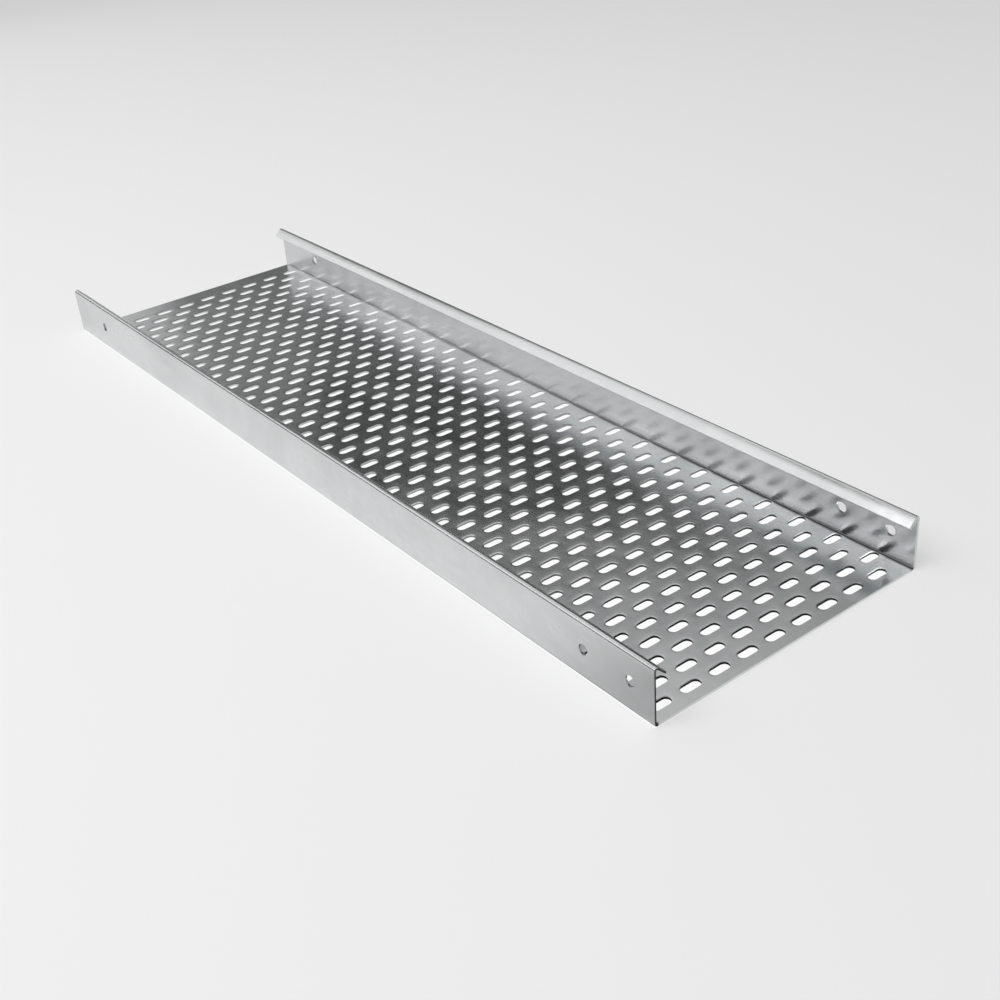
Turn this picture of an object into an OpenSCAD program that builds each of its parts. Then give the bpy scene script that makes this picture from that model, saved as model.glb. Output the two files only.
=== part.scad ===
// Perforated cable tray, folded from one sheet: a slotted floor, two upright walls
// and a sloping lip turned in along the top of each wall. Millimetres.
// X runs along the tray with the near end at +X, Y runs across it, and Z is up
// from the underside of the floor. The origin is under the middle of the floor.

/* [Sheet] */
// Overall length of the tray
tray_l = 1044; // [300:1:3000]
// Overall width across the outer faces of the walls
tray_w = 300; // [120:1:600]
// Overall height from the underside of the floor to the top of the walls
tray_h = 54; // [40:1:110]
// Thickness of the sheet
sheet_t = 2; // [0.8:0.1:3]

/* [Bends] */
// Inner radius of the bend between floor and wall
floor_bend = 1.5; // [0.5:0.1:5]
// Inner radius of the bend between wall and lip
lip_bend = 1; // [0.5:0.1:5]
// Slope of the lip below level
lip_slope = 45; // [10:1:70]
// Straight length of the lip past its bend
lip_l = 10.5; // [3:0.5:15]

/* [Floor slots] */
// Length of a slot, across the tray
slot_l = 20; // [12:0.5:25]
// Width of a slot, along the tray
slot_w = 9; // [5:0.5:12]
// Distance from one column of slots to the next, along the tray
column_pitch = 20.4; // [16:0.1:40]
// Distance from one slot to the next in the same column
row_pitch = 31.2; // [28:0.1:60]
// From the near end of the tray to the first column of slots
first_column = 15.5; // [10:0.5:40]
// Least distance from the far end of the tray to the last column of slots
last_column = 20; // [10:0.5:40]
// From the outer face of a wall to the centre of the slot nearest to it, at least
first_row = 14; // [14:0.5:30]

/* [Wall holes] */
// Diameter of the holes in the walls
hole_d = 10; // [6:0.5:12]
// Height of these holes above the underside of the floor
hole_z = 28.5; // [20:0.5:30]
// From the near end of the tray to the first hole
near_hole = 26; // [15:0.5:60]
// Distance between the two holes at the near end
near_hole_pitch = 52.5; // [20:0.5:120]
// From the far end of the tray to the hole there
far_hole = 80; // [15:0.5:120]

/* [Hidden] */
$fn = 48;
steel = [0.74, 0.76, 0.77];
over = 1; // how far a cutter passes the face that it cuts
hair = 0.0005; // how far the lip lies inside the tangent of its bend, so that they meet in one edge

floor_r = floor_bend + sheet_t; // outer radius of the bend under a wall
lip_r = lip_bend + sheet_t; // outer radius of the bend over a wall
lip_turn = 90 + lip_slope; // how far the sheet turns from wall to lip

near_x = tray_l / 2;
far_x = -tray_l / 2;
columns = floor((tray_l - first_column - last_column) / column_pitch) + 1;
row_room = tray_w - 2 * first_row; // between the outermost slot centres
stagger = row_pitch / 2; // every other column starts this much further in

// How many slots a column takes that starts this far in from the first row
function slots_in(start) = floor((row_room - start) / row_pitch) + 1;

// Wedge from the +x side, turning anticlockwise, that reaches past a circle of this radius
module wedge(r, turn) {
  polygon(concat([[0, 0]], [for (s = [0 : 3]) 2 * r * [cos(turn * s / 3), sin(turn * s / 3)]]));
}

// Square bend of the sheet round the origin, from the +x side to the +y side
module square_bend(outer_r) {
  intersection() {
    difference() {
      circle(r = outer_r);
      circle(r = outer_r - sheet_t);
    }
    wedge(outer_r, 90);
  }
}

// Top of a wall, turned over the origin from the +x side and running straight on as the lip
module lip_fold() {
  difference() {
    union() {
      intersection() {
        circle(r = lip_r);
        wedge(lip_r, lip_turn + 20);
      }
      rotate(lip_turn) square([lip_r - hair, lip_l]);
    }
    circle(r = lip_bend);
    rotate(lip_turn) square([lip_bend - hair, lip_l + over]);
  }
}

// Wall and lip on the +x side of the section, with half of the floor
module half_section() {
  square([tray_w / 2 - floor_r, sheet_t]);
  translate([tray_w / 2 - floor_r, floor_r]) rotate(-90) square_bend(floor_r);
  translate([tray_w / 2 - sheet_t, floor_r]) square([sheet_t, tray_h - floor_r - lip_r]);
  translate([tray_w / 2 - lip_r, tray_h - lip_r]) lip_fold();
}

module section() {
  half_section();
  mirror([1, 0]) half_section();
}

// One slot with round ends, long across the tray
module slot() {
  straight = slot_l - slot_w;
  linear_extrude(sheet_t + 2 * over) {
    square([slot_w, straight], center = true);
    for (side = [-1, 1]) translate([0, side * straight / 2]) circle(d = slot_w);
  }
}

// One column of slots, starting this far in from the first row beside the +Y wall
module column(start) {
  for (n = [0 : slots_in(start) - 1])
    translate([0, tray_w / 2 - first_row - start - n * row_pitch, -over]) slot();
}

// Round holes through both walls at one place along the tray
module wall_holes(x) {
  translate([x, 0, hole_z]) rotate([90, 0, 0])
    cylinder(d = hole_d, h = tray_w + 2 * over, center = true);
}

module tray() {
  color(steel)
  difference() {
    rotate([90, 0, 90]) linear_extrude(tray_l, center = true) section();
    for (c = [0 : columns - 1])
      translate([near_x - first_column - c * column_pitch, 0, 0])
        column(c % 2 == 0 ? stagger : 0);
    wall_holes(near_x - near_hole);
    wall_holes(near_x - near_hole - near_hole_pitch);
    wall_holes(far_x + far_hole);
  }
}

tray();
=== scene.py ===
"""Perforated cable tray: one zinc-coated sheet, slotted, drilled and folded, in a plain studio."""

import math

import bpy
import numpy as np
from bpy.props import FloatProperty, FloatVectorProperty, PointerProperty
from mathutils import Matrix, Vector


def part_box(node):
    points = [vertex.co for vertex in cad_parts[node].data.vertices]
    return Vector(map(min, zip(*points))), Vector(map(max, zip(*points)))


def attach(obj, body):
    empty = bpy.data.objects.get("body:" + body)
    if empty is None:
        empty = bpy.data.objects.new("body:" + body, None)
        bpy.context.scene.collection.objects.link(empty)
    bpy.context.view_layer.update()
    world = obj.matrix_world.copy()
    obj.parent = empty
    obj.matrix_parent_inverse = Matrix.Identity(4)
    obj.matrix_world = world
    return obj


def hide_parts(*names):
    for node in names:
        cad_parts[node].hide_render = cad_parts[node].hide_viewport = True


bl_info = {
    "name": "Perforated cable tray",
    "version": (1, 0, 0),
    "blender": (4, 5, 0),
    "location": "3D View > Sidebar > Cable tray",
    "description": "Builds a slotted and folded cable tray, and the studio it is shown in",
    "category": "Object",
}

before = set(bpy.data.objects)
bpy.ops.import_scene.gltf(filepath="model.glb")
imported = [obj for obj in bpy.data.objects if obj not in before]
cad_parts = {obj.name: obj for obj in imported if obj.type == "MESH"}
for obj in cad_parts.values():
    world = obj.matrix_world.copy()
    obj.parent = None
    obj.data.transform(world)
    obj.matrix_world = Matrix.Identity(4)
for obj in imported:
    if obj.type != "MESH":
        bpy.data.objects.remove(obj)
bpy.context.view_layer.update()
LOW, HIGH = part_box("tray")

# Steps round the floor bends, the lip bends and the wall holes
BEND_STEPS = 5
LIP_STEPS = 6
HOLE_STEPS = 32

# Edges that turn by more than this stay sharp
SHARP_ANGLE = math.radians(25)

# Grid squares along each side of the cell that a slot or a hole takes
CELL = 4

# Grid steps round the border of a cell, anticlockwise from the middle of its +X side
BORDER_ALONG = np.array([0, 0, 0, 1, 2, 3, 4, 4, 4, 4, 4, 3, 2, 1, 0, 0])
BORDER_ACROSS = np.array([2, 1, 0, 0, 0, 0, 0, 1, 2, 3, 4, 4, 4, 4, 4, 3])

# Grid lines before the first cell: the near end and its eased corner
END_LINES = 2

# Slack that keeps a count of whole pitches from rounding down
COUNT_SLACK = 1e-6

# Depth of the eased corner on a cut edge, as a share of its width
EASED_DEPTH = 0.8

# Width of a hole's eased corner in widths of an eased edge, and its depth as a share of that
HOLE_EASE = 1.5
HOLE_EASE_DEPTH = 0.5

# Middle ring of the dip beside a slot: its share of the dip's reach, of its depth and of a rim
DIP_MIDDLE = 0.5
DIP_MIDDLE_DEPTH = 0.2
DIP_MIDDLE_RIM = 0.5

# Beside a bend the dip's outer and middle rings keep these shares of the room between bend and slot
BRIM_STOP = 0.3
DIP_STOP = 0.65

# How far bare steel shows: on punched faces and on trimmed ends; on the near left end it is painted
# shade
PUNCHED = 0.25
TRIMMED = 0.05
PAINTED_END_SHADE = 1.0

# Painted shade in the bends under the walls: at a bend's foot, its fall up the bend, on the floor beside
# it
BEND_SHADE_FOOT = 1.3
BEND_SHADE_FALL = 1.1
BEND_SHADE_BESIDE = 0.85

# Share of that painted shade at places along the tray, counted in tray lengths from its middle
BEND_SHADE_PLACES = (-0.25, 0.0, 0.3)
BEND_SHADE_SHARES = (0.0, 0.65, 1.0)

# Repeats to the metre of the patterns in the zinc
CLOUD_SCALE = 11.0
SMEAR_SCALE = 30.0
GRAIN_SCALE = 1400.0
WAVE_SCALE = 6.5
FLAKE_SCALE = 130.0

# The smears are longer along the sheet, and the rolling lines have these repeats along and across it
SMEAR_STRETCH = (0.35, 1.0, 1.0)
LINE_REPEATS = (3.0, 420.0, 420.0)

# How far each pattern moves the coating between dull and bright
CLOUD_SHADE = 1.6
SMEAR_SHADE = 1.5
LINE_SHADE = 0.25
FLAKE_SHADE = 0.10

# How much fainter the clouds and smears are on the walls
WALL_CALM = 0.45

# Heights between which the floor's finish turns into the walls'
WALL_FOOT = 0.0025
WALL_FULL = 0.006

# How far a pattern, a rim, a cut face or the painted bend shade moves the roughness
SMEAR_ROUGH = 0.09
LINE_ROUGH = 0.03
FLAKE_ROUGH = 0.015
RIM_POLISH = 0.03
CUT_ROUGH = 0.22
BEND_SHADE_ROUGH = 0.15

# The bump counts in this unit, and the rolling lines and the grain are this high in it
BUMP_UNIT = 0.001
LINE_RELIEF = 0.0003
GRAIN_RELIEF = 0.00012

# Half the width of the studio floor, and how far it lies under the tray
FLOOR_REACH = 14.0
FLOOR_DROP = 0.0003

# Along the tray, where painted shade dims the floor beside its left wall in the metal, and how dark it
# gets
BESIDE_DIM = (0.335, 0.485)
BESIDE_SHADE = 0.3

# Along the tray, where the painted shadow on the floor under it turns from dark to white in the metal
UNDER_WHITE = (0.42, -0.15)

# Directions in which the metal sees the room's pale walls, from not at all to fully: near side and top
OPEN_SIDE = (-0.30, 0.25)
OPEN_TOP = (0.80, 0.95)

# Directions from high to low in which the pale walls gain their full paleness, and their least share
PALE_BAND = (0.42, 0.22)
PALE_LEAST = 0.45

# Width of the camera's sensor in millimetres
SENSOR_WIDTH = 36.0


def length(name, description, default):
    """A size in metres that the sidebar shows."""
    return FloatProperty(
        name=name, description=description, default=default,
        min=0.0, precision=5, subtype="DISTANCE", unit="LENGTH",
    )


def share(name, description, default):
    """A number from 0 to 1 that the sidebar shows as a slider."""
    return FloatProperty(
        name=name, description=description, default=default,
        min=0.0, max=1.0, subtype="FACTOR",
    )


def amount(name, description, default):
    """A plain number that the sidebar shows."""
    return FloatProperty(name=name, description=description, default=default, precision=4)


def colour(name, description, default):
    """A colour that the sidebar shows."""
    return FloatVectorProperty(
        name=name, description=description, default=default,
        min=0.0, max=1.0, size=3, subtype="COLOR",
    )


def place(name, description, default):
    """A point in the frame that the sidebar shows."""
    return FloatVectorProperty(
        name=name, description=description, default=default,
        size=3, precision=4, subtype="TRANSLATION", unit="LENGTH",
    )


def angle(name, description, degrees):
    """An angle that the sidebar shows."""
    return FloatProperty(
        name=name, description=description, default=math.radians(degrees),
        subtype="ANGLE", unit="ROTATION",
    )


class TraySizes(bpy.types.PropertyGroup):
    """Sizes of the folded sheet, its slots and its bolt holes."""

    tray_length: length("Length", "Whole length of the tray", HIGH.x - LOW.x)
    tray_width: length("Width", "Width over both walls", HIGH.y - LOW.y)
    # The frame's mesh cuts the round top a hair short, so its height is rounded.
    tray_height: length("Height", "Height of the walls with their lips", round(HIGH.z - LOW.z, 4))
    thickness: length("Sheet", "Thickness of the sheet", 0.002)
    floor_bend: length("Floor bend", "Inner radius between floor and wall", 0.0015)
    lip_bend: length("Lip bend", "Inner radius between wall and lip", 0.001)
    lip_slope: angle("Lip slope", "Slope of the lips below level", 45)
    lip_length: length("Lip", "Straight length of a lip", 0.0105)
    slot_length: length("Slot length", "Length of a floor slot", 0.020)
    slot_width: length("Slot width", "Width of a floor slot", 0.009)
    column_pitch: length("Column pitch", "Step between slot columns", 0.0204)
    row_pitch: length("Row pitch", "Step between the slots of a column", 0.0312)
    first_column: length("First column", "Near end to the first column", 0.0155)
    last_column: length("Last column", "Least room past the last column", 0.020)
    first_row: length("First row", "Right wall's outside to the first slot", 0.014)
    dip_width: length("Dip", "Reach of the shallow dip beside a slot", 0.0018)
    dip_depth: length("Dip depth", "Depth of the dip at the slot's far side", 0.00022)
    hole_size: length("Hole", "Diameter of a wall hole", 0.010)
    hole_height: length("Hole height", "Height of the wall holes", 0.0285)
    near_hole: length("Near hole", "Near end to its first hole", 0.026)
    near_pitch: length("Near hole pitch", "Step between the two near holes", 0.0525)
    far_hole: length("Far hole", "Far end to its hole", 0.080)
    ease: length("Eased edge", "Width of the dulled corner on cut edges", 0.0003)


class SheetFinish(bpy.types.PropertyGroup):
    """Colours and surface of the zinc coating."""

    zinc_dark: colour("Zinc, dull", "Coating where it is cloudy", (0.60, 0.615, 0.62))
    zinc_light: colour("Zinc, bright", "Coating where it is clear", (0.82, 0.83, 0.835))
    # At full strength, on the near left end, this colour is painted shade
    bare_steel: colour("Cut edge", "Bare steel on punched edges", (0.05, 0.05, 0.052))
    # The colour of the painted shade in the inside bends
    bend_shade_colour: colour("Bend shade", "Painted shade in the inside bends", (0.04, 0.04, 0.04))
    roughness: share("Roughness", "Roughness of the coating on the floor", 0.22)
    dulling: share("Dulling", "How much rougher the folded walls are", 0.03)
    clouding: share("Clouding", "How far clouds change the roughness", 0.10)
    wave: length("Waviness", "Height of the sheet's slow waves", 0.00025)


class StudioLook(bpy.types.PropertyGroup):
    """Floor, room and camera."""

    floor: colour("Floor", "Colour of the studio floor", (0.86, 0.86, 0.86))
    glow: share("Floor glow", "Share of plain white in the floor as it is seen", 0.55)
    # Painted light over the tray's shadow where the paper shows through the slots
    slot_glow: share("Slot glow", "The same share where it shows through the slots", 0.93)
    sheen: share("Floor in metal", "The same share where the metal mirrors the floor", 0.45)
    room: amount("Room", "Grey light of the room", 0.038)
    walls: amount("Walls", "Grey of the room's pale walls as they are seen", 0.57)
    wall_sheen: share("Walls in metal", "Share of the pale walls that the metal mirrors", 0.8)
    camera: place("Camera", "Where the camera stands", (1.0868, -0.6772, 0.6580))
    turn: angle("Turn", "Camera's turn round the tray", 54.37)
    height: angle("Height", "Camera's angle above level", 30.64)
    roll: angle("Roll", "Camera's roll", -4.60)
    lens: amount("Lens", "Focal length in millimetres", 48.94)


class Skin:
    """Gathers the points and faces of one closed sheet, and puts them into a mesh."""

    def __init__(self):
        self.points, self.rims, self.bend_shades = [], [], []
        self.faces, self.cuts = [], []
        self.total = 0

    def add(self, points, rim=0.0, bend_shade=0.0):
        """Takes points of shape (..., 3) and returns their numbers in shape (...)."""
        shape = points.shape[:-1]
        count = math.prod(shape)
        self.points.append(points.reshape(-1, 3))
        self.rims.append(np.full(count, rim))
        self.bend_shades.append(np.broadcast_to(bend_shade, shape).ravel())
        numbers = np.arange(self.total, self.total + count).reshape(shape)
        self.total += count
        return numbers

    def face(self, *corners, cut=0.0):
        """One face for each entry of the corner arrays, anticlockwise from outside."""
        self.faces.append(np.stack(corners, -1).reshape(-1, len(corners)))
        self.cuts.append(np.broadcast_to(cut, corners[0].shape).ravel())

    def mesh(self, name):
        """Drops the points that no face uses, and fills a mesh from whole arrays."""
        flat = np.concatenate([rows.ravel() for rows in self.faces])
        sides = np.concatenate([np.full(len(rows), rows.shape[1]) for rows in self.faces])
        used, corners = np.unique(flat, return_inverse=True)
        mesh = bpy.data.meshes.new(name)
        mesh.vertices.add(len(used))
        mesh.vertices.foreach_set("co", np.concatenate(self.points)[used].ravel())
        mesh.loops.add(len(corners))
        mesh.loops.foreach_set("vertex_index", corners.ravel().astype(np.int32))
        mesh.polygons.add(len(sides))
        starts = np.concatenate([[0], np.cumsum(sides)[:-1]]).astype(np.int32)
        mesh.polygons.foreach_set("loop_start", starts)
        mesh.update(calc_edges=True)
        for key, domain, values in (
            ("rim", "POINT", np.concatenate(self.rims)[used]),
            ("bend_shade", "POINT", np.concatenate(self.bend_shades)[used]),
            ("cut", "FACE", np.concatenate(self.cuts)),
        ):
            mesh.attributes.new(key, "FLOAT", domain).data.foreach_set("value", values)
        if mesh.validate():
            raise RuntimeError(f"{name} has faces that do not hold together")
        mesh.shade_smooth()
        mesh.set_sharp_from_angle(angle=SHARP_ANGLE)
        return mesh


def slot_columns(sizes):
    """How many columns of slots fit between the first column and the far end's room."""
    room = sizes.tray_length - sizes.first_column - sizes.last_column
    return int(room / sizes.column_pitch + COUNT_SLACK) + 1


def length_lines(sizes):
    """Places along the tray from near to far: one cell to a slot column, and the ends."""
    near, far = sizes.tray_length / 2, -sizes.tray_length / 2
    first = near - sizes.first_column + sizes.column_pitch / 2
    inner = first - sizes.column_pitch / CELL * np.arange(CELL * slot_columns(sizes) + 1)
    tail = [(inner[-1] + far) / 2, far + sizes.ease, far]
    return np.concatenate([[near, near - sizes.ease], inner, tail])


def floor_lines(sizes):
    """Places across the floor from right to left: one cell to a row pitch, and both bends."""
    foot = sizes.tray_width / 2 - sizes.thickness - sizes.floor_bend
    step = sizes.row_pitch / CELL
    top = sizes.tray_width / 2 - sizes.first_row + step
    count = int((top + foot) / step) + 1
    return np.concatenate([[foot], top - step * np.arange(count), [-foot]])


def wall_lines(sizes):
    """Heights up a wall: one cell round the holes, and one more line below and above it."""
    ring = sizes.hole_height + sizes.column_pitch / CELL * (np.arange(CELL + 1) - CELL // 2)
    foot = sizes.thickness + sizes.floor_bend
    head = sizes.tray_height - sizes.thickness - sizes.lip_bend
    return np.concatenate([[(foot + ring[0]) / 2], ring, [(head + ring[-1]) / 2]])


def fold(sizes, extra):
    """The right wall's section from floor bend to lip, as (y, z) rows.

    A bend is its centre plus its radius times (cos, sin) of an angle: a quarter turn at the
    floor, then a quarter turn and the lip's slope at the top. The lip is straight from there.
    extra is the sheet's thickness for the outer skin and 0 for the inner one.
    """
    half = sizes.tray_width / 2
    low_bend = sizes.thickness + sizes.floor_bend
    top_bend = sizes.thickness + sizes.lip_bend
    low = np.linspace(-math.pi / 2, 0, BEND_STEPS + 1)[1:]
    over = np.linspace(0, math.pi / 2 + sizes.lip_slope, LIP_STEPS + 1)
    tip = np.array([sizes.lip_length / 2, sizes.lip_length - sizes.ease, sizes.lip_length])
    low_r, top_r = sizes.floor_bend + extra, sizes.lip_bend + extra
    walls = wall_lines(sizes)
    y = np.concatenate([
        half - low_bend + low_r * np.cos(low),
        np.full(len(walls), half - sizes.thickness + extra),
        half - top_bend + top_r * np.cos(over),
        half - top_bend + top_r * math.cos(over[-1]) - tip * math.sin(over[-1]),
    ])
    z = np.concatenate([
        low_bend + low_r * np.sin(low),
        walls,
        sizes.tray_height - top_bend + top_r * np.sin(over),
        sizes.tray_height - top_bend + top_r * math.sin(over[-1]) + tip * math.cos(over[-1]),
    ])
    return np.stack([y, z], -1)


def section(sizes, extra):
    """One skin of the whole section, from the right lip's edge to the left lip's edge."""
    right = fold(sizes, extra)
    across = floor_lines(sizes)
    level = np.full(len(across), sizes.thickness - extra)
    return np.concatenate([right[::-1], np.stack([across, level], -1), right * (-1, 1)])


def skin_points(sizes):
    """Both skins as grids of points, a place along the tray by a place round the section.

    Each point is the middle of the sheet plus or minus half its thickness. On the outermost
    lines the half is smaller, which dulls the corners of the cut edges.
    """
    outer, inner = section(sizes, sizes.thickness), section(sizes, 0.0)
    along = length_lines(sizes)
    middle, half = (outer + inner) / 2, (outer - inner) / 2
    keep = np.ones((len(along), len(middle), 1))
    eased = 1 - 2 * EASED_DEPTH * sizes.ease / sizes.thickness
    keep[[0, -1]] = eased
    keep[:, [0, -1]] = eased
    x = np.broadcast_to(along[:, None, None], keep.shape)
    lower = np.concatenate([x, middle + keep * half], -1)
    upper = np.concatenate([x, middle - keep * half], -1)
    return lower, upper


def painted_bend_shade(sizes):
    """How much painted shade the upper skin has, at each place along the tray by each place
    round the section.

    In an inside bend the painted shade thins in a straight line from foot to wall, and the floor's
    line beside it has one share. Along the tray it thins from the near end to none before the far end.
    """
    across = np.zeros(len(section(sizes, 0.0)))
    bend = np.clip(BEND_SHADE_FOOT - BEND_SHADE_FALL * np.linspace(0, 1, BEND_STEPS), 0, 1)
    foot = len(fold(sizes, 0.0))
    across[foot - BEND_STEPS:foot] = bend[::-1]
    across[-foot:BEND_STEPS - foot] = bend
    across[[foot, -foot - 1]] = BEND_SHADE_BESIDE
    along = np.interp(length_lines(sizes) / sizes.tray_length, BEND_SHADE_PLACES, BEND_SHADE_SHARES)
    return across * along[:, None]


def slot_loop(sizes, spread):
    """Sixteen points round a slot, as x and y from its middle.

    Two half circles of six steps stand at the ends of two straight sides. spread makes the
    loop wider by that much all round.
    """
    turn = math.pi / 6 * np.r_[0, 0:6, 6, 6, 6:12, 12]
    end = np.r_[0, np.ones(7), 0, -np.ones(7)]
    radius = sizes.slot_width / 2 + spread
    straight = (sizes.slot_length - sizes.slot_width) / 2
    return radius * np.cos(turn), end * straight + radius * np.sin(turn)


def slot_cells(sizes):
    """Every slot's middle (x, y) and the grid line where its cell starts, along and across.

    Odd columns start at the first row, and even columns start half a row pitch further in.
    """
    columns = np.arange(slot_columns(sizes))
    stagger = np.where(columns % 2 == 0, 1, 0)
    room = sizes.tray_width - 2 * sizes.first_row
    rows = np.arange(int((room - sizes.row_pitch / 2) / sizes.row_pitch + COUNT_SLACK) + 1)
    column, row = (grid.ravel() for grid in np.meshgrid(columns, rows, indexing="ij"))
    x = sizes.tray_length / 2 - sizes.first_column - sizes.column_pitch * column
    drop = row + stagger[column] / 2
    y = sizes.tray_width / 2 - sizes.first_row - sizes.row_pitch * drop
    return x, y, END_LINES + CELL * column, CELL * row + CELL // 2 * stagger[column]


def punch_slots(skin, sizes, lower, upper, taken):
    """Fills the slot cells with rings, and marks the grid squares that they take.

    From its cell's border a slot has a level ring, a dip that grows steeper towards the edge,
    a wall through the sheet and a level ring below. The dip's depth goes from all on the slot's
    far side to none on its near side, as half of one minus the cosine of the turn round the
    slot. A ring near a bend stops short of it.
    """
    x, y, along, across = slot_cells(sizes)
    first = len(fold(sizes, 0.0)) + across
    rows = along[:, None] + BORDER_ALONG
    places = first[:, None] + BORDER_ACROSS
    foot = sizes.tray_width / 2 - sizes.thickness - sizes.floor_bend
    room = foot - (sizes.tray_width / 2 - sizes.first_row + sizes.slot_length / 2)

    def ring(spread, height, stop, rim=0.0):
        """A loop round every slot, wider by the spread, that stops this share of the room off a bend."""
        loop_x, loop_y = slot_loop(sizes, spread)
        ring_x = x[:, None] + loop_x
        ring_y = np.minimum(y[:, None] + loop_y, foot - stop * room)
        level = np.broadcast_to(height, ring_x.shape)
        return skin.add(np.stack([ring_x, ring_y, level], -1), rim=rim)

    cosine = slot_loop(sizes, 0.0)[0] / (sizes.slot_width / 2)
    sink = sizes.dip_depth * (1 - cosine) / 2
    brim = ring(sizes.dip_width, sizes.thickness, BRIM_STOP)
    dip = ring(DIP_MIDDLE * sizes.dip_width, sizes.thickness - DIP_MIDDLE_DEPTH * sink,
               DIP_STOP, rim=DIP_MIDDLE_RIM)
    edge = ring(0.0, sizes.thickness - sink, 1.0, rim=1.0)
    foot_edge = ring(0.0, 0.0, 1.0, rim=1.0)
    loops = [upper[rows, places], brim, dip, edge]
    for wide, tight in zip(loops, loops[1:]):
        skin.face(wide, np.roll(wide, -1, 1), np.roll(tight, -1, 1), tight)
    skin.face(edge, np.roll(edge, -1, 1), np.roll(foot_edge, -1, 1), foot_edge, cut=PUNCHED)
    below = lower[rows, places]
    skin.face(np.roll(below, -1, 1), below, foot_edge, np.roll(foot_edge, -1, 1))
    step = np.arange(CELL)
    taken[along[:, None, None] + step[:, None], first[:, None, None] + step] = True


def drill_walls(skin, sizes, lower, upper, taken):
    """Opens the round holes of both walls, and marks the grid squares that they take.

    A hole is a circle of 32 points on each skin, with an eased corner, joined to the sixteen
    points of its cell's border by five-sided faces and to the other skin by the hole's wall.
    """
    near, half = sizes.tray_length / 2, sizes.tray_width / 2
    first_near = near - sizes.near_hole
    x = np.array([first_near, first_near - sizes.near_pitch, sizes.far_hole - near])
    first = np.abs(length_lines(sizes)[:, None] - x).argmin(0) - CELL // 2
    rows = first[:, None] + BORDER_ALONG
    fold_count = len(fold(sizes, 0.0))
    ring_start = BEND_STEPS + 1
    right = fold_count - 1 - (ring_start + CELL)
    left = lower.shape[1] - fold_count + ring_start
    turn = np.linspace(0, 2 * math.pi, HOLE_STEPS, endpoint=False)
    radius = sizes.hole_size / 2
    soft = HOLE_EASE * sizes.ease
    corner = HOLE_EASE_DEPTH * soft

    def circle(side, spread, inset, rim=0.0):
        """A loop round every hole of a wall, wider by the spread and this far in from its outside."""
        ring_x = x[:, None] + (radius + spread) * np.cos(turn)
        ring_y = np.full(ring_x.shape, side * (half - inset))
        ring_z = sizes.hole_height + side * (radius + spread) * np.sin(turn)
        level = np.broadcast_to(ring_z, ring_x.shape)
        return skin.add(np.stack([ring_x, ring_y, level], -1), rim=rim)

    for start, side in ((right, 1), (left, -1)):
        places = start + np.broadcast_to(BORDER_ACROSS, rows.shape)
        inside = circle(side, soft, sizes.thickness)
        inside_edge = circle(side, 0.0, sizes.thickness - corner, rim=1.0)
        outside_edge = circle(side, 0.0, corner, rim=1.0)
        outside = circle(side, soft, 0.0)
        border = upper[rows, places]
        skin.face(border, np.roll(border, -1, 1), np.roll(inside, -2, 1)[:, ::2],
                  inside[:, 1::2], inside[:, ::2])
        border = lower[rows, places]
        skin.face(np.roll(border, -1, 1), border, outside[:, ::2],
                  outside[:, 1::2], np.roll(outside, -2, 1)[:, ::2])
        for one, other, cut in ((inside, inside_edge, 0.0),
                                (inside_edge, outside_edge, PUNCHED),
                                (outside_edge, outside, 0.0)):
            skin.face(one, np.roll(one, -1, 1), np.roll(other, -1, 1), other, cut=cut)
        step = np.arange(CELL)
        taken[first[:, None, None] + step[:, None], start + step] = True


def tray_mesh(sizes):
    """The folded sheet as one closed mesh: two skins, slots, holes and cut edges."""
    skin = Skin()
    lower_points, upper_points = skin_points(sizes)
    lower = skin.add(lower_points)
    upper = skin.add(upper_points, bend_shade=painted_bend_shade(sizes))
    taken = np.zeros((lower.shape[0] - 1, lower.shape[1] - 1), bool)
    punch_slots(skin, sizes, lower, upper, taken)
    drill_walls(skin, sizes, lower, upper, taken)
    i, j = np.nonzero(~taken)
    skin.face(upper[i, j], upper[i + 1, j], upper[i + 1, j + 1], upper[i, j + 1])
    skin.face(lower[i, j], lower[i, j + 1], lower[i + 1, j + 1], lower[i + 1, j])
    near_cut_and_shade = np.full(upper.shape[1] - 1, TRIMMED)
    # The near left end's faces take the full dark steel colour as painted shade
    near_cut_and_shade[-len(fold(sizes, 0.0)):] = PAINTED_END_SHADE
    for a, b, cut in ((upper[0], lower[0], near_cut_and_shade),
                      (upper[-1][::-1], lower[-1][::-1], TRIMMED),
                      (upper[::-1, 0], lower[::-1, 0], TRIMMED),
                      (upper[:, -1], lower[:, -1], TRIMMED)):
        skin.face(a[:-1], a[1:], b[1:], b[:-1], cut=cut)
    return skin.mesh("tray_sheet")


class Wire:
    """A shader socket that takes part in Python arithmetic by adding Math nodes."""

    def __init__(self, shader, socket):
        self.shader, self.socket = shader, socket

    def __add__(self, other):
        return self.shader.maths("ADD", self, other)

    def __radd__(self, other):
        return self.shader.maths("ADD", other, self)

    def __sub__(self, other):
        return self.shader.maths("SUBTRACT", self, other)

    def __rsub__(self, other):
        return self.shader.maths("SUBTRACT", other, self)

    def __mul__(self, other):
        return self.shader.maths("MULTIPLY", self, other)

    def __rmul__(self, other):
        return self.shader.maths("MULTIPLY", other, self)

    def __lt__(self, other):
        return self.shader.maths("LESS_THAN", self, other)

    def __abs__(self):
        return self.shader.maths("ABSOLUTE", self)


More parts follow.
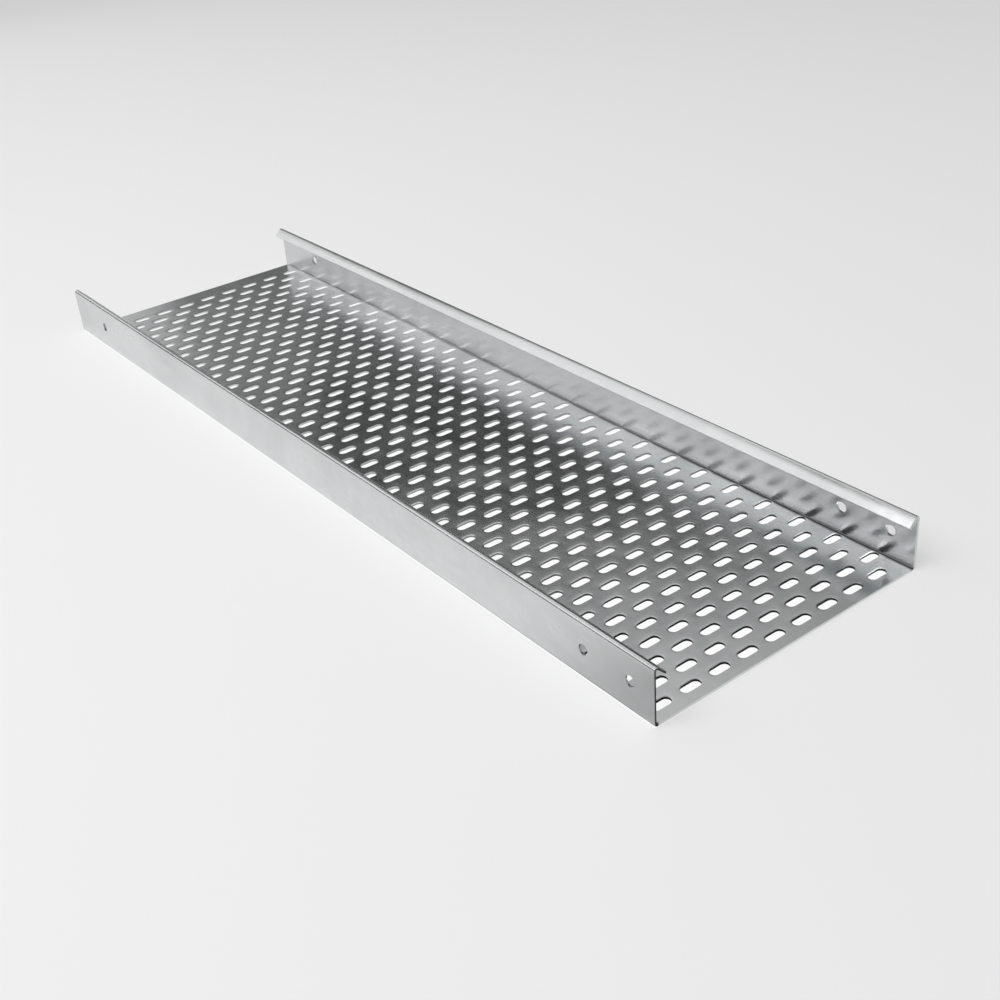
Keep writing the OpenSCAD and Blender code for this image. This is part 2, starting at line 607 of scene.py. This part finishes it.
class Shader:
    """A node tree whose nodes all come from one method."""

    def __init__(self, tree):
        self.tree = tree
        tree.nodes.clear()

    def node(self, kind, settings=None, sockets=None, out=0):
        """Adds a node: its settings first, then its sockets' values or links."""
        node = self.tree.nodes.new(kind)
        for key, value in (settings or {}).items():
            setattr(node, key, value)
        for key, value in (sockets or {}).items():
            if isinstance(value, Wire):
                self.tree.links.new(value.socket, node.inputs[key])
            else:
                node.inputs[key].default_value = value
        return Wire(self, node.outputs[out]) if node.outputs else None

    def maths(self, operation, *values):
        """One number from others."""
        return self.node("ShaderNodeMath", {"operation": operation}, dict(enumerate(values)))

    def mix(self, factor, a, b):
        """A colour from a to b."""
        settings = {"data_type": "RGBA", "blend_type": "MIX"}
        return self.node("ShaderNodeMix", settings, {0: factor, 6: a, 7: b}, out=2)

    def blend(self, factor, a, b):
        """A surface from a to b."""
        return self.node("ShaderNodeMixShader", sockets={0: factor, 1: a, 2: b})

    def axis(self, vector, name):
        """One of a vector's three numbers."""
        return self.node("ShaderNodeSeparateXYZ", sockets={"Vector": vector}, out=name)

    def ramp(self, value, start, end):
        """From 0 where a value is at the start to 1 where it is at the end."""
        sockets = {"Value": value, "From Min": start, "From Max": end}
        return self.node("ShaderNodeMapRange", sockets=sockets)

    def rays(self):
        """1 for a ray of each kind: from the camera, mirrored by gloss, and passed through."""
        kinds = ("Is Camera Ray", "Is Glossy Ray", "Is Transmission Ray")
        return (self.node("ShaderNodeLightPath", out=kind) for kind in kinds)


def opaque(rgb):
    """A colour with full alpha."""
    return (*rgb, 1.0)


def sheet_material(finish):
    """The zinc coating.

    Cloudy patches, smears and lines along the rolled sheet and small crystal flakes change its
    shade and roughness, and slow waves, the lines and a grain bump it. The walls are a little
    rougher and calmer than the floor. Painted shade darkens the inside bends and makes them
    rougher. Steel shows where the sheet was cut, and painted shade darkens the near left end.
    """
    material = bpy.data.materials.new("zinc_sheet")
    material.use_nodes = True
    shader = Shader(material.node_tree)
    at = shader.node("ShaderNodeTexCoord", out="Object")

    def noise(scale, detail, stretch=(1.0, 1.0, 1.0), roughness=0.5):
        """Soft noise round 0."""
        spot = shader.node("ShaderNodeMapping", sockets={"Vector": at, "Scale": stretch})
        sockets = {"Vector": spot, "Scale": scale, "Detail": detail, "Roughness": roughness}
        return shader.node("ShaderNodeTexNoise", sockets=sockets) - 0.5

    def mark(name):
        """A value that the mesh carries."""
        return shader.node("ShaderNodeAttribute", {"attribute_name": name}, out="Fac")

    clouds = noise(CLOUD_SCALE, detail=4.0, roughness=0.6)
    smears = noise(SMEAR_SCALE, detail=3.0, stretch=SMEAR_STRETCH)
    lines = noise(1.0, detail=3.0, stretch=LINE_REPEATS)
    grain = noise(GRAIN_SCALE, detail=1.0)
    waves = noise(WAVE_SCALE, detail=1.0)
    flakes = shader.node("ShaderNodeTexVoronoi", {"feature": "F1"},
                         {"Vector": at, "Scale": FLAKE_SCALE}, out="Color")
    flake = shader.node("ShaderNodeSeparateColor", sockets={"Color": flakes}) - 0.5
    rim, cut, bend_shade = mark("rim"), mark("cut"), mark("bend_shade")
    wall = shader.ramp(shader.axis(at, "Z"), WALL_FOOT, WALL_FULL)

    patches = clouds * CLOUD_SHADE + smears * SMEAR_SHADE
    bright = 0.5 + patches * (1 - wall * WALL_CALM) + lines * LINE_SHADE + flake * FLAKE_SHADE
    zinc = shader.mix(bright, opaque(finish.zinc_dark), opaque(finish.zinc_light))
    # Painted shade darkens the inside bends
    bend_shaded = shader.mix(bend_shade, zinc, opaque(finish.bend_shade_colour))
    # Bare steel on cut faces, and painted shade on the near left end
    paint = shader.mix(cut, bend_shaded, opaque(finish.bare_steel))

    rough = (finish.roughness + wall * finish.dulling + clouds * finish.clouding
             + smears * SMEAR_ROUGH + lines * LINE_ROUGH + flake * FLAKE_ROUGH
             - rim * RIM_POLISH + cut * CUT_ROUGH + bend_shade * BEND_SHADE_ROUGH)
    height = waves * (finish.wave / BUMP_UNIT) + lines * LINE_RELIEF + grain * GRAIN_RELIEF
    normal = shader.node("ShaderNodeBump", sockets={
        "Strength": 1.0, "Distance": BUMP_UNIT, "Height": height,
    })
    surface = shader.node("ShaderNodeBsdfPrincipled", sockets={
        "Base Color": paint, "Metallic": 1.0, "Roughness": rough, "Normal": normal,
    })
    shader.node("ShaderNodeOutputMaterial", sockets={"Surface": surface})
    return material


def paper_material(look):
    """Pale paper, which the camera sees nearly white, and whitest through the slots, where painted
    light covers the tray's shadow.

    The metal sees it too: plain round the tray, with painted shade beside the near left end, and
    under the tray a painted shadow from dark at the near end to white at the far end.
    """
    material = bpy.data.materials.new("studio_paper")
    material.use_nodes = True
    shader = Shader(material.node_tree)
    at = shader.node("ShaderNodeTexCoord", out="Object")
    along, across = shader.axis(at, "X"), shader.axis(at, "Y")
    under = (abs(along) < HIGH.x) * (abs(across) < HIGH.y)
    beside = (across < LOW.y) * shader.ramp(along, *BESIDE_DIM)
    camera, glossy, passing = shader.rays()
    mirrored = look.sheen * (1 - under) * (1 - beside) + under * shader.ramp(along, *UNDER_WHITE)
    # Under the tray the camera sees painted light over the tray's shadow
    seen = (camera * (look.glow + (look.slot_glow - look.glow) * under)
            + glossy * mirrored + passing * look.glow)
    paper = shader.node("ShaderNodeBsdfDiffuse", sockets={"Color": opaque(look.floor)})
    shade = shader.node("ShaderNodeBsdfDiffuse", sockets={"Color": opaque((0.0, 0.0, 0.0))})
    white = shader.node("ShaderNodeEmission", sockets={"Color": opaque((1.0, 1.0, 1.0))})
    # Painted shadow under the tray and painted shade beside its near left end, for the metal only
    lit = shader.blend(glossy * (under + beside * BESIDE_SHADE), paper, shade)
    shader.node("ShaderNodeOutputMaterial", sockets={"Surface": shader.blend(seen, lit, white)})
    return material


def studio_floor(look):
    """A wide level sheet of paper just under the tray."""
    corners = ((-1, -1), (1, -1), (1, 1), (-1, 1))
    points = [(x * FLOOR_REACH, y * FLOOR_REACH, -FLOOR_DROP) for x, y in corners]
    mesh = bpy.data.meshes.new("studio_floor")
    mesh.from_pydata(points, [], [(0, 1, 2, 3)])
    mesh.materials.append(paper_material(look))
    floor = bpy.data.objects.new("studio_floor", mesh)
    bpy.context.collection.objects.link(floor)


def studio_room(look):
    """The room: dim where its lamps stand on the far side, and pale to the camera.

    The metal sees the pale walls too, palest low down, on the near side and straight above,
    where the sheet mirrors no lamp.
    """
    scene = bpy.context.scene
    scene.world = scene.world or bpy.data.worlds.new("room")
    scene.world.use_nodes = True
    shader = Shader(scene.world.node_tree)
    towards = shader.node("ShaderNodeTexCoord", out="Object")
    along, up = shader.axis(towards, "X"), shader.axis(towards, "Z")
    camera, glossy, passing = shader.rays()
    side, top = shader.ramp(along, *OPEN_SIDE), shader.ramp(up, *OPEN_TOP)
    paleness = PALE_LEAST + (1 - PALE_LEAST) * shader.ramp(up, *PALE_BAND)
    mirrored = shader.maths("MAXIMUM", side, top) * paleness * look.wall_sheen
    seen = camera + passing + glossy * mirrored
    dim, pale = (shader.node("ShaderNodeBackground", sockets={"Color": opaque((grey, grey, grey))})
                 for grey in (look.room, look.walls))
    shader.node("ShaderNodeOutputWorld", sockets={"Surface": shader.blend(seen, dim, pale)})


def soft_box(name, at, width, height, radiance, aim=(0, 0, 0)):
    """A flat lamp at a place, turned to a point: its power is radiance times pi times area."""
    lamp = bpy.data.lights.new(name, "AREA")
    lamp.shape, lamp.size, lamp.size_y = "RECTANGLE", width, height
    lamp.energy = radiance * math.pi * width * height
    box = bpy.data.objects.new(name, lamp)
    bpy.context.collection.objects.link(box)
    box.location = at
    box.rotation_mode = "QUATERNION"
    box.rotation_quaternion = (Vector(aim) - Vector(at)).to_track_quat("-Z", "Y")


def studio_lamps():
    """Ten soft boxes, most of them behind the tray, where the sheet mirrors them to the camera.

    side_box and corner_box show in the right wall and its lip, strip_box in the near floor,
    arc_box and top_box in the dips beside the slots, and back_box, low_box and gap_box in the
    far floor. front_box lights the paper, and rim_box the near cut edge.
    """
    soft_box("side_box", at=(-1.55, -1.29, 1.48), width=1.80, height=1.58, radiance=1.0)
    soft_box("strip_box", at=(-1.31, 0.88, 1.67), width=2.33, height=0.58, radiance=0.46)
    soft_box("arc_box", at=(-0.95, 1.05, 1.81), width=1.5, height=0.36, radiance=0.5)
    soft_box("front_box", at=(0.3, -1.7, 2.4), width=2.2, height=1.8, radiance=4.8)
    soft_box("top_box", at=(-0.916, 0.16, 1.99), width=1.2, height=0.9, radiance=0.8)
    soft_box("back_box", at=(-2.54, 0.33, 0.84), width=0.85, height=1.0, radiance=0.42)
    soft_box("corner_box", at=(-2.52, -0.49, 0.84), width=0.85, height=1.0, radiance=0.90)
    soft_box("low_box", at=(-2.25, 1.34, 0.80), width=2.1, height=0.56, radiance=0.145)
    soft_box("gap_box", at=(-2.36, 0.87, 1.12), width=0.46, height=0.34, radiance=0.20)
    soft_box("rim_box", at=(1.55, 1.40, 1.45), width=1.2, height=0.6, radiance=0.9, aim=(0.5, 0, 0))


def photo_camera(look):
    """The camera: back points from the tray to it, and the roll turns right and up."""
    level = math.cos(look.height)
    back = Vector((math.sin(look.turn) * level, -math.cos(look.turn) * level, math.sin(look.height)))
    right = (-back).cross(Vector((0, 0, 1))).normalized()
    up = right.cross(-back)
    c, s = math.cos(look.roll), math.sin(look.roll)
    axes = Matrix((c * right + s * up, c * up - s * right, back)).transposed()
    data = bpy.data.cameras.new("camera")
    data.sensor_width = SENSOR_WIDTH
    data.lens = look.lens
    camera = bpy.data.objects.new("camera", data)
    bpy.context.collection.objects.link(camera)
    camera.matrix_world = Matrix.Translation(look.camera) @ axes.to_4x4()
    bpy.context.scene.camera = camera


class TRAY_OT_sheet(bpy.types.Operator):
    """Build the slotted and folded sheet, and give it its zinc finish"""

    bl_idname = "cable_tray.sheet"
    bl_label = "Tray sheet"

    def execute(self, context):
        mesh = tray_mesh(context.scene.tray_sizes)
        mesh.materials.append(sheet_material(context.scene.tray_finish))
        sheet = bpy.data.objects.new("tray_sheet", mesh)
        context.collection.objects.link(sheet)
        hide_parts("tray")
        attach(sheet, "root")
        return {"FINISHED"}


class TRAY_OT_stage(bpy.types.Operator):
    """Set up the pale floor, the room, the soft lamps and the camera"""

    bl_idname = "cable_tray.stage"
    bl_label = "Studio"

    def execute(self, context):
        look = context.scene.tray_studio
        context.scene.view_settings.view_transform = "Standard"
        studio_floor(look)
        studio_room(look)
        studio_lamps()
        photo_camera(look)
        return {"FINISHED"}


class TRAY_PT_panel(bpy.types.Panel):
    """Sizes, finish and studio of the cable tray"""

    bl_idname = "TRAY_PT_panel"
    bl_label = "Cable tray"
    bl_space_type = "VIEW_3D"
    bl_region_type = "UI"
    bl_category = "Cable tray"

    def draw(self, context):
        groups = (
            (TRAY_OT_sheet, context.scene.tray_sizes),
            (TRAY_OT_sheet, context.scene.tray_finish),
            (TRAY_OT_stage, context.scene.tray_studio),
        )
        for maker, group in groups:
            box = self.layout.box()
            for key in group.__annotations__:
                box.prop(group, key)
            box.operator(maker.bl_idname)


CLASSES = (TraySizes, SheetFinish, StudioLook, TRAY_OT_sheet, TRAY_OT_stage, TRAY_PT_panel)


def register():
    for entry in CLASSES:
        bpy.utils.register_class(entry)
    bpy.types.Scene.tray_sizes = PointerProperty(type=TraySizes)
    bpy.types.Scene.tray_finish = PointerProperty(type=SheetFinish)
    bpy.types.Scene.tray_studio = PointerProperty(type=StudioLook)


def unregister():
    del bpy.types.Scene.tray_studio
    del bpy.types.Scene.tray_finish
    del bpy.types.Scene.tray_sizes
    for entry in reversed(CLASSES):
        bpy.utils.unregister_class(entry)


def main():
    register()
    bpy.ops.cable_tray.sheet()
    bpy.ops.cable_tray.stage()


if __name__ == "__main__":
    main()
